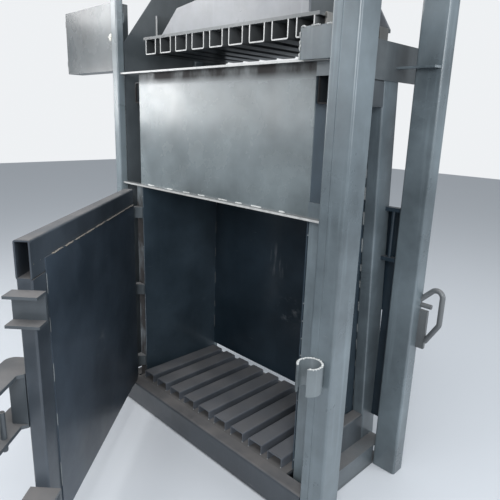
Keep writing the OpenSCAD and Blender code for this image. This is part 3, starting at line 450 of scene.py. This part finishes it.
# Floor ribs
# Nine channels welded legs down on the floor plate, so that straps can be threaded between them,
# with a tack at the foot of each leg. Worn brown and dusty on top, nearly black down the sides.
rib_paint = slate_paint("rib_paint", (0.082, 0.092, 0.108), dust=0.62, shine=0.42, streak=0.1)
coat(rib_paint, "floor_ribs")
soften(0.0012, "floor_ribs")
rib_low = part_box("floor_ribs")[0]
near = 0.0005
leg_most = 0.02
feet = sorted({round(p.x, 4) for p in points_of("floor_ribs")
               if p.z < rib_low[2] + near and p.y < rib_low[1] + near})
z_tack = rib_low[2] + 0.001
foot_tacks = [((a, rib_low[1], z_tack), (b, rib_low[1], z_tack))
              for a, b in zip(feet[0::2], feet[1::2]) if b - a < leg_most]
weld_bead("rib_foot_tacks", foot_tacks, width=0.006, body="frame", seed=9, paint=grey_weld)

# Panel, ledges and post fittings
# A smooth glossy panel over the door opening between two flat bars, whose front edges show pale cut
# steel. Small plates tie it to the post, and a stub of channel and the latch keeper are welded on.
panel_low, panel_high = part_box("upper_panel")
# The panel's top band is painted darker and less glossy, as painted shade under the flat bar above it.
panel_paint_and_shade = slate_paint("panel_paint_and_shade", (0.122, 0.144, 0.152), dust=0.2, shine=0.24, streak=0.06,
                          painted_shade=("Z", panel_high[2] - 0.055, panel_high[2] - 0.025))
coat(panel_paint_and_shade, "upper_panel")
ledge_paint = slate_paint("ledge_paint", (0.12, 0.135, 0.14), dust=0.7, shine=0.34, cut=("Y", -1))
coat(ledge_paint, "ledge_plates")
soften(0.001, "ledge_plates")
coat(tube_paint, "tie_plates", "feed_bracket")
soften(0.001, "tie_plates", "feed_bracket")
keeper_paint = slate_paint("keeper_paint", (0.105, 0.122, 0.130), dust=0.7, shine=0.36, streak=0.4,
                           cut=("Z", 1))
coat(keeper_paint, "keeper_hook")
soften(0.0015, "keeper_hook")
foot = (panel_low[1] - 0.001, panel_low[2] + 0.001)
ledge_runs = stitches((panel_low[0] + 0.03, *foot), (panel_high[0] - 0.03, *foot),
                      run=0.045, gap=0.075, seed=11)
pale_weld = slate_paint("pale_weld", (0.42, 0.43, 0.42), dust=0.2, shine=0.36, streak=0.1)
weld_bead("ledge_welds", ledge_runs, width=0.008, body="frame", seed=5, paint=pale_weld)
hook_low, hook_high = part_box("keeper_hook")
post_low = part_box("front_post_right")[0]
hook_x = (hook_low[0] + hook_high[0]) / 2
y_run = post_low[1] - 0.002
hook_runs = [((hook_x + d, y_run, hook_low[2] + 0.004), (hook_x + d, y_run, hook_high[2] - 0.004))
             for d in (-0.017, 0.017)]
weld_bead("keeper_welds", hook_runs, width=0.009, body="frame", seed=12, paint=keeper_paint)
# a bead round the pipe's top edge, from one lip of its mouth to the other
hook_mid = Vector((hook_x, hook_high[1] - (hook_high[0] - hook_low[0]) / 2, 0))
rim_z = hook_high[2] - 0.0005
ring = [p - hook_mid for p in points_of("keeper_hook") if p.z > rim_z]
turns = sorted(math.atan2(p.y, p.x) for p in ring)
gap, start = max(((b - a) % math.tau, b) for a, b in zip(turns, turns[1:] + turns[:1]))
rim_r = sum(p.xy.length for p in ring) / len(ring)
steps = 22
rim_turns = [start + (math.tau - gap) * (0.02 + 0.96 * k / steps) for k in range(steps + 1)]
rim_points = [hook_mid + Vector((rim_r * math.cos(a), rim_r * math.sin(a), rim_z)) for a in rim_turns]
rim_runs = list(zip(rim_points, rim_points[1:]))
weld_bead("keeper_rim", rim_runs, width=0.0065, body="frame", seed=15, paint=pale_weld, wander=0.3)
stub_low, stub_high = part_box("feed_bracket")
stub_top = (stub_low[0], stub_low[1], stub_high[2])
stub_runs = stitches(stub_low, stub_top, run=0.03, gap=0.006, seed=31)
stub_runs += stitches(stub_top, (stub_high[0], stub_low[1], stub_high[2]), run=0.03, gap=0.02, seed=32)
weld_bead("feed_bracket_welds", stub_runs, width=0.006, body="frame", seed=16, paint=pale_weld, wander=0.3)

# Guards, shelves and rear handle
# Plates beside the feed opening, small shelves by the rear posts, and a bent rod grip on a plate,
# welded to the right rear post.
guard_paint = slate_paint("guard_paint", (0.060, 0.070, 0.076), dust=0.5, shine=0.34, streak=0.2)
coat(guard_paint, "side_guards")
handle_paint = slate_paint("handle_paint", (0.090, 0.096, 0.100), dust=0.7, shine=0.34, streak=0.3)
coat(handle_paint, "rear_handle")

# Platen
# A flat plate with nine channels welded under it, legs up, so that straps run between them. Plates
# on edge stiffen it, and steel pads guide it in the chamber. The cut rib ends are pale.
platen_paint = slate_paint("platen_paint", (0.058, 0.066, 0.070), dust=0.6, shine=0.36, streak=0.2)
coat(platen_paint, "platen_plate", "platen_cross_ribs", "rod_socket")
# The front beams are painted much lighter than the platen, as painted reflection of bright sky on their
# glossy fronts.
beam_reflection_paint = slate_paint("platen_beam_reflection_paint", (0.118, 0.126, 0.138), dust=0.8, shine=0.30, streak=0.45)
coat(beam_reflection_paint, "platen_beams")
rib_end_paint = slate_paint("rib_end_paint", (0.060, 0.064, 0.066), dust=0.5, shine=0.38, streak=0.1,
                            cut=("Y", -1))
coat(rib_end_paint, "platen_ribs")

# Crosshead and cylinder
# Box beams along the sides carry two channels on edge, and the plate between those holds the
# cylinder by its flange with eight bolts. The rod is hard chromed.
coat(post_paint, "crosshead_ends", "crosshead_beams", "cylinder_plate", "cylinder_barrel")
soften(0.002, "crosshead_beams", "cylinder_plate")


def bare_metal(name, colour, roughness, stretch=(1, 1, 1), metal=1.0):
    """Unpainted metal with a cloudy grain, or with metal=0 a clear or plain coloured surface."""
    mat = bpy.data.materials.new(name)
    mat.use_nodes = True
    tree = mat.node_tree
    link = tree.links.new
    shader = tree.nodes["Principled BSDF"]
    place = tree.nodes.new("ShaderNodeTexCoord")
    size = tree.nodes.new("ShaderNodeMapping")
    size.inputs["Scale"].default_value = stretch
    link(place.outputs["Object"], size.inputs["Vector"])
    grain = tree.nodes.new("ShaderNodeTexNoise")
    grain.inputs["Scale"].default_value = 14
    grain.inputs["Detail"].default_value = 7
    link(size.outputs[0], grain.inputs["Vector"])
    tone = tree.nodes.new("ShaderNodeValToRGB")
    tone.color_ramp.elements[0].position = 0.3
    tone.color_ramp.elements[0].color = tuple(c * 0.6 for c in colour) + (1,)
    tone.color_ramp.elements[1].position = 0.7
    tone.color_ramp.elements[1].color = tuple(colour) + (1,)
    link(grain.outputs["Fac"], tone.inputs["Fac"])
    link(tone.outputs["Color"], shader.inputs["Base Color"])
    spread = tree.nodes.new("ShaderNodeMapRange")
    spread.inputs["To Min"].default_value = roughness * 0.75
    spread.inputs["To Max"].default_value = min(1, roughness * 1.35)
    link(grain.outputs["Fac"], spread.inputs["Value"])
    link(spread.outputs[0], shader.inputs["Roughness"])
    shader.inputs["Metallic"].default_value = metal
    bump = tree.nodes.new("ShaderNodeBump")
    bump.inputs["Strength"].default_value = 0.08
    bump.inputs["Distance"].default_value = 0.001
    link(grain.outputs["Fac"], bump.inputs["Height"])
    link(bump.outputs[0], shader.inputs["Normal"])
    return mat


def turned(name, profile, places, axis, body, material, sides=24):
    """Turned pieces: a closed profile of (radius, height) points, stood on each place along an axis."""
    bm = bmesh.new()
    stand = Vector(axis).to_track_quat("Z", "Y").to_matrix()
    turns = [math.tau * k / sides for k in range(sides)]
    for spot in places:
        rings = [[bm.verts.new(Vector(spot) + stand @ Vector((r * math.cos(turn), r * math.sin(turn), h)))
                  for turn in turns] for r, h in profile]
        for p, q in zip(rings, rings[1:] + rings[:1]):
            for k in range(sides):
                bm.faces.new((p[k], p[(k + 1) % sides], q[(k + 1) % sides], q[k]))
    bmesh.ops.recalc_face_normals(bm, faces=bm.faces)
    mesh = bpy.data.meshes.new(name)
    bm.to_mesh(mesh)
    bm.free()
    mesh.materials.append(material)
    ob = bpy.data.objects.new(name, mesh)
    bpy.context.scene.collection.objects.link(ob)
    edge = ob.modifiers.new("edge", "BEVEL")
    edge.width = 0.0004
    edge.segments = 2
    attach(ob, body)


oiled_steel = bare_metal("oiled_steel", (0.40, 0.39, 0.37), 0.34)
chrome = bare_metal("hard_chrome", (0.78, 0.79, 0.80), 0.09, (1, 1, 30))
coat(oiled_steel, "cylinder_gland", "flange_bolts", "piston", "rod_pin", "platen_guides")
coat(chrome, "piston_rod")
beam_low, beam_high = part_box("crosshead_beams")
x_end = beam_high[0] - 0.006
z_run = beam_low[2] + 0.001
beam_runs = []
for side in (-1, 1):
    for y in (beam_low[1] - 0.001, beam_high[1] + 0.001):
        beam_runs.append(((side * x_end, y, z_run), (side * (post_low[0] + 0.004), y, z_run)))
weld_bead("crosshead_welds", beam_runs, width=0.009, body="frame", seed=17, paint=dark_weld)

# Power pack
# A welded oil tank stands on the beams, with a finned flange motor, a valve block and steel pipes to
# the cylinder on its lid.
coat(post_paint, "oil_tank")
motor_paint = slate_paint("motor_paint", (0.10, 0.135, 0.17), dust=0.6, shine=0.36, streak=0.1)
coat(motor_paint, "pump_motor")
zinc = bare_metal("zinc_plate", (0.55, 0.54, 0.50), 0.30)
coat(zinc, "valve_block", "oil_pipes")
tank_low, tank_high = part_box("oil_tank")
lid_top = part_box("pump_motor")[0][2]
inset = 0.007
lid_xs = [tank_low[0] + inset + (tank_high[0] - tank_low[0] - 2 * inset) * k / 4 for k in range(5)]
lid_spots = [(x, y, lid_top) for x in lid_xs for y in (tank_low[1] + inset, tank_high[1] - inset)]
# a turned piece keeps a hair of a bore along its axis, so that its ends are made of four-sided faces
core = 0.0005
turned("tank_lid_screws", [(core, 0), (0.0062, 0), (0.0062, 0.004), (0.0052, 0.005), (core, 0.005)],
       lid_spots, axis=(0, 0, 1), body="frame", material=zinc, sides=6)
gauge_half = 0.016
gauge_h = 0.17
gauge_x = tank_low[0] + 0.11
gauge_y = tank_low[1] + 0.012
gauge_z = tank_low[2] + 0.06
plate_y = gauge_y - 0.006
plate_top = gauge_z + gauge_h
flat_plate("level_gauge_plate",
           [(gauge_x - gauge_half, plate_y, gauge_z), (gauge_x + gauge_half, plate_y, gauge_z),
            (gauge_x + gauge_half, plate_y, plate_top), (gauge_x - gauge_half, plate_y, plate_top)],
           thickness=0.0055, body="frame", paint=zinc)
oil_amber = bare_metal("oil_amber", (0.42, 0.20, 0.03), 0.15, metal=0.0)
turned("level_gauge_glass", [(core, 0), (0.007, 0), (0.007, 0.11), (core, 0.11)],
       [(gauge_x, gauge_y - 0.008, gauge_z + 0.03)], axis=(0, 0, 1),
       body="frame", material=oil_amber, sides=20)
turned("level_gauge_nuts", [(core, 0), (0.008, 0), (0.008, 0.006), (core, 0.006)],
       [(gauge_x, plate_y, gauge_z + z) for z in (0.014, 0.156)], axis=(0, -1, 0),
       body="frame", material=zinc, sides=6)
motor_low, motor_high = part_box("pump_motor")
motor_mid = (motor_low[0] + motor_high[0]) / 2
wire = 0.006
wire_h = 0.0015
for k, radius in enumerate((0.018, 0.033, 0.048, 0.063)):
    turned("fan_grille_ring_%d" % (k + 1),
           [(radius, 0), (radius + wire, 0), (radius + wire, wire_h), (radius, wire_h)],
           [(motor_mid, 0, motor_high[2])], axis=(0, 0, 1),
           body="frame", material=zinc, sides=32)
turned("terminal_box_screws", [(core, 0), (0.0045, 0), (0.0038, 0.0025), (core, 0.0025)],
       [(motor_mid + dx, motor_low[1], motor_low[2] + dz) for dx in (-0.037, 0.037) for dz in (0.068, 0.142)],
       axis=(0, -1, 0), body="frame", material=zinc, sides=12)

# Control cabinet
# A folded box on two brackets beside the left upright, with a shallow door, a quarter turn lock and
# three push buttons on its left side. Smoother and glossier than the frame.
cabinet_paint = slate_paint("cabinet_paint", (0.062, 0.073, 0.078), dust=0.3, shine=0.24, streak=0.06)
coat(cabinet_paint, "control_cabinet", "cabinet_door")
coat(tube_paint, "cabinet_brackets")
coat(zinc, "cabinet_gear", "cabinet_lock")


def moulded(name, colour, roughness):
    """Moulded plastic with a fine, faint grain."""
    mat = bpy.data.materials.new(name)
    mat.use_nodes = True
    tree = mat.node_tree
    shader = tree.nodes["Principled BSDF"]
    grain = tree.nodes.new("ShaderNodeTexNoise")
    grain.inputs["Scale"].default_value = 60
    tone = tree.nodes.new("ShaderNodeValToRGB")
    tone.color_ramp.elements[0].color = tuple(c * 0.8 for c in colour) + (1,)
    tone.color_ramp.elements[1].color = tuple(colour) + (1,)
    tree.links.new(grain.outputs["Fac"], tone.inputs["Fac"])
    tree.links.new(tone.outputs["Color"], shader.inputs["Base Color"])
    shader.inputs["Roughness"].default_value = roughness
    return mat


coat(moulded("green_plastic", (0.02, 0.32, 0.08), 0.28), "start_button")
coat(moulded("black_plastic", (0.03, 0.03, 0.032), 0.32), "stop_button")
coat(moulded("red_plastic", (0.55, 0.02, 0.015), 0.26), "emergency_button")
case_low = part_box("control_cabinet")[0]
wall_x = min(p.x for p in points_of("control_cabinet") if p.z < case_low[2] + 0.03)


def button_collar(name, button, height, material):
    """A ring on the cabinet's wall round a push button, clear of its head."""
    clearance = 0.0015
    width = 0.004
    low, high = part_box(button)
    inner = (high[2] - low[2]) / 2 + clearance
    centre = (wall_x, (low[1] + high[1]) / 2, (low[2] + high[2]) / 2)
    outer = inner + width
    crest = inner + width * 0.5
    turned(name, [(inner, 0), (outer, 0), (outer, height * 0.6), (crest, height), (inner, height)],
           [centre], axis=(-1, 0, 0), body="frame", material=material, sides=32)


button_collar("start_collar", "start_button", 0.006, chrome)
button_collar("stop_collar", "stop_button", 0.006, chrome)
yellow_plastic = moulded("yellow_plastic", (0.72, 0.50, 0.02), 0.3)
button_collar("emergency_collar", "emergency_button", 0.002, yellow_plastic)
lock_low, lock_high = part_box("cabinet_lock")
lock_mid = (lock_low[0] + lock_high[0]) / 2
door_y = min(p.y for p in points_of("cabinet_door"))
lock_hole = 0.0138
turned("lock_rosette", [(lock_hole, 0), (0.018, 0), (0.017, 0.0015), (lock_hole, 0.0015)],
       [(lock_mid, door_y, lock_high[2] - 0.013)], axis=(0, -1, 0),
       body="cabinet_lid", material=zinc, sides=32)

# Chamber door
# A frame of tubes with a sheet welded on its inner face, hung on three barrel hinges. The top rail
# runs over the stiles and is open at the free end. Its top carries brown dust.
door_paint = slate_paint("door_paint", (0.034, 0.043, 0.054), dust=0.95, shine=0.36, streak=0.22)
coat(door_paint, "door_rails", "door_stiles")
skin_paint = slate_paint("skin_paint", (0.028, 0.040, 0.055), dust=0.5, shine=0.42, streak=0.12,
                         rubs=[((-0.18, -0.70, 0.59), 0.10, (16, 16, 34))])
coat(skin_paint, "door_skin")
lug_paint = slate_paint("lug_paint", (0.046, 0.055, 0.063), dust=1.0, shine=0.42)
coat(lug_paint, "door_stop_lugs")
coat(base_paint, "hinge_brackets", "door_hinge_barrels")
coat(oiled_steel, "hinge_pins")
# the skin's longest level edge says which way the door stands
sheet = points_of("door_skin")
edges = [sheet[e.vertices[1]] - sheet[e.vertices[0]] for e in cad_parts["door_skin"].data.edges]
across = max(edges, key=lambda e: e.xy.length)
across.z = 0
across.normalize()
if across.y > 0:
    across = -across
inward = Vector((-across.y, across.x, 0))
face = max(p.dot(inward) for p in sheet)
skin_t = face - min(p.dot(inward) for p in sheet)
hinge_side = min(p.dot(across) for p in sheet)
free_side = max(p.dot(across) for p in sheet)
rail_end = max(p.dot(across) for p in points_of("door_rails"))
skin_low, skin_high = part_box("door_skin")
sunk = 0.001


def on_door(s, z, out):
    """A point at a distance along the door, at a height, and so far off its inner face."""
    return across * s + inward * (face + out) + Vector((0, 0, z))


rim = stitches(on_door(hinge_side + 0.02, skin_high[2], -sunk), on_door(free_side, skin_high[2], -sunk),
               run=0.11, gap=0.012, seed=21)
rim += stitches(on_door(free_side + 0.002, skin_high[2], sunk - skin_t),
                on_door(rail_end - 0.004, skin_high[2], sunk - skin_t), run=0.04, gap=0.006, seed=22)
rim_weld = slate_paint("rim_weld", (0.23, 0.205, 0.175), dust=0.5, shine=0.45, streak=0.1)
weld_bead("door_rim_welds", rim, width=0.0045, body="door", seed=13, paint=rim_weld, wander=0.4)
edge_runs = stitches(on_door(free_side, skin_low[2] + 0.03, -sunk),
                     on_door(free_side, skin_high[2] - 0.02, -sunk), run=0.07, gap=0.10, seed=23)
edge_weld = slate_paint("edge_weld", (0.12, 0.13, 0.135), dust=0.4, shine=0.40, streak=0.1)
weld_bead("door_edge_welds", edge_runs, width=0.0032, body="door", seed=14, paint=edge_weld)

# Door latch
# Two plates stand out past the door's free edge and hold an upright shaft. Its oblong block passes
# the keeper's mouth, and a quarter turn of the lever locks it there.
latch_paint = slate_paint("latch_paint", (0.046, 0.055, 0.063), dust=1.0, shine=0.40)
coat(latch_paint, "latch_plates")
coat(oiled_steel, "latch_shaft", "latch_handle")
